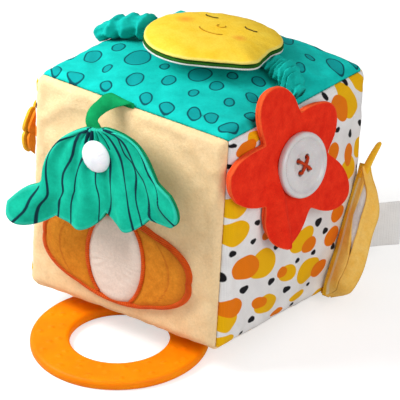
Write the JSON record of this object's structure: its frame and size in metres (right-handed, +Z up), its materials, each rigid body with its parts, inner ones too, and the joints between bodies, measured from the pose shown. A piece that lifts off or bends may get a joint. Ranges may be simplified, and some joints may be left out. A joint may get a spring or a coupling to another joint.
{
  "type": "soft fabric activity block",
  "caption": "Stuffed cloth block leaning on its teether ring, with a leaf flap, a felt flower and button, a banana pouch and a disc on a gathered strap.",
  "frame": {"origin": "on the floor under the middle of the whole object's outline", "axes": "+Z up from the floor, -Y out of the front face with the leaf, +X out of the side with the flower; the block itself leans back 6.8 degrees about X"},
  "size_m": [0.1328, 0.1676, 0.1319],
  "materials": {
    "peach_plush": "short pile",
    "teal_print": "printed cotton",
    "spot_print": "printed cotton",
    "fibre_filling": "loose polyester fibre",
    "patch_cloth": "matte",
    "satin_stitch": "satin stitch",
    "leaf_cotton": "printed cotton",
    "stalk_felt": "cut felt",
    "snap_plastic": "gloss",
    "red_felt": "felt",
    "button_plastic": "gloss",
    "sun_cotton": "short pile",
    "green_cloth": "matte",
    "white_cloth": "matte",
    "teal_strap": "gathered cotton",
    "orange_felt": "felt",
    "banana_plush": "short pile",
    "banana_lining": "short pile",
    "tape": "woven tape",
    "ring_rubber": "matte",
    "rattle_plastic": "satin",
    "ball_plastic": "gloss"
  },
  "bodies": {
    "block": {"front_panel": "peach_plush", "bottom_panel": "peach_plush", "back_panel": "peach_plush", "right_panel": "spot_print", "left_panel": "spot_print", "top_panel": "teal_print", "filling_lower": "fibre_filling", "filling_upper": "fibre_filling", "rattle_case_upper": "rattle_plastic", "rattle_case_lower": "rattle_plastic", "fruit_patch": "patch_cloth", "fruit_border": "satin_stitch", "fruit_rib_left": "satin_stitch", "fruit_rib_right": "satin_stitch", "snap_stud": "snap_plastic", "flower_back": "red_felt", "flower_front": "red_felt", "flower_button": "button_plastic", "button_thread": "satin_stitch", "strap_left": "teal_strap", "strap_right": "teal_strap", "daisy_front": "sun_cotton", "daisy_back": "orange_felt", "daisy_centre": "orange_felt", "banana_back": "banana_plush", "banana_flesh": "white_cloth", "banana_stalk": "banana_plush", "side_label": "white_cloth", "corner_tag": "orange_felt", "ring_tab": "tape"},
    "ring": {"teether_ring": "ring_rubber", "ring_loop": "tape"},
    "leaf": {"leaf_front": "leaf_cotton", "leaf_lining": "stalk_felt", "leaf_stalk": "stalk_felt", "snap_cap": "snap_plastic", "snap_socket": "snap_plastic"},
    "sun": {"sun_front": "sun_cotton", "sun_backing": "green_cloth", "sun_trim": "white_cloth", "strap_middle": "teal_strap"},
    "inner_flap": {"banana_flap_inner": "banana_lining"},
    "outer_flap": {"banana_flap_outer": "banana_lining"},
    "ball_one": {"rattle_ball_1": "ball_plastic"},
    "ball_two": {"rattle_ball_2": "ball_plastic"},
    "ball_three": {"rattle_ball_3": "ball_plastic"}
  },
  "joints": [
    {"name": "ring_swing", "type": "hinge", "parent": "block", "child": "ring", "pos_m": [-0.00361, -0.00427, 0.00327], "axis": [1, 0, 0], "range_deg": [0, 100]},
    {"name": "leaf_lift", "type": "hinge", "parent": "block", "child": "leaf", "pos_m": [-0.00531, -0.03007, 0.11598], "axis": [-1, 0, 0], "range_deg": [0, 110]},
    {"name": "sun_pull", "type": "slide", "parent": "block", "child": "sun", "axis": [0, 0.1184, 0.993], "range_m": [0, 0.015], "stiffness_N_per_m": 60, "deforming": ["strap_left", "strap_right"]},
    {"name": "peel_inner", "type": "hinge", "parent": "block", "child": "inner_flap", "pos_m": [0.05049, 0.04624, 0.03303], "axis": [0, -0.5045, -0.8634], "range_deg": [0, 60]},
    {"name": "peel_outer", "type": "hinge", "parent": "block", "child": "outer_flap", "pos_m": [0.06548, 0.04624, 0.03303], "axis": [0, 0.5045, 0.8634], "range_deg": [0, 60]},
    {"name": "ball_1_rattle", "type": "slide", "parent": "block", "child": "ball_one", "axis": [0, 0.1184, 0.993], "range_m": [0, 0.012]},
    {"name": "ball_2_rattle", "type": "slide", "parent": "block", "child": "ball_two", "axis": [0, 0.1184, 0.993], "range_m": [0, 0.012]},
    {"name": "ball_3_rattle", "type": "slide", "parent": "block", "child": "ball_three", "axis": [0, 0.1184, 0.993], "range_m": [0, 0.012]}
  ]
}
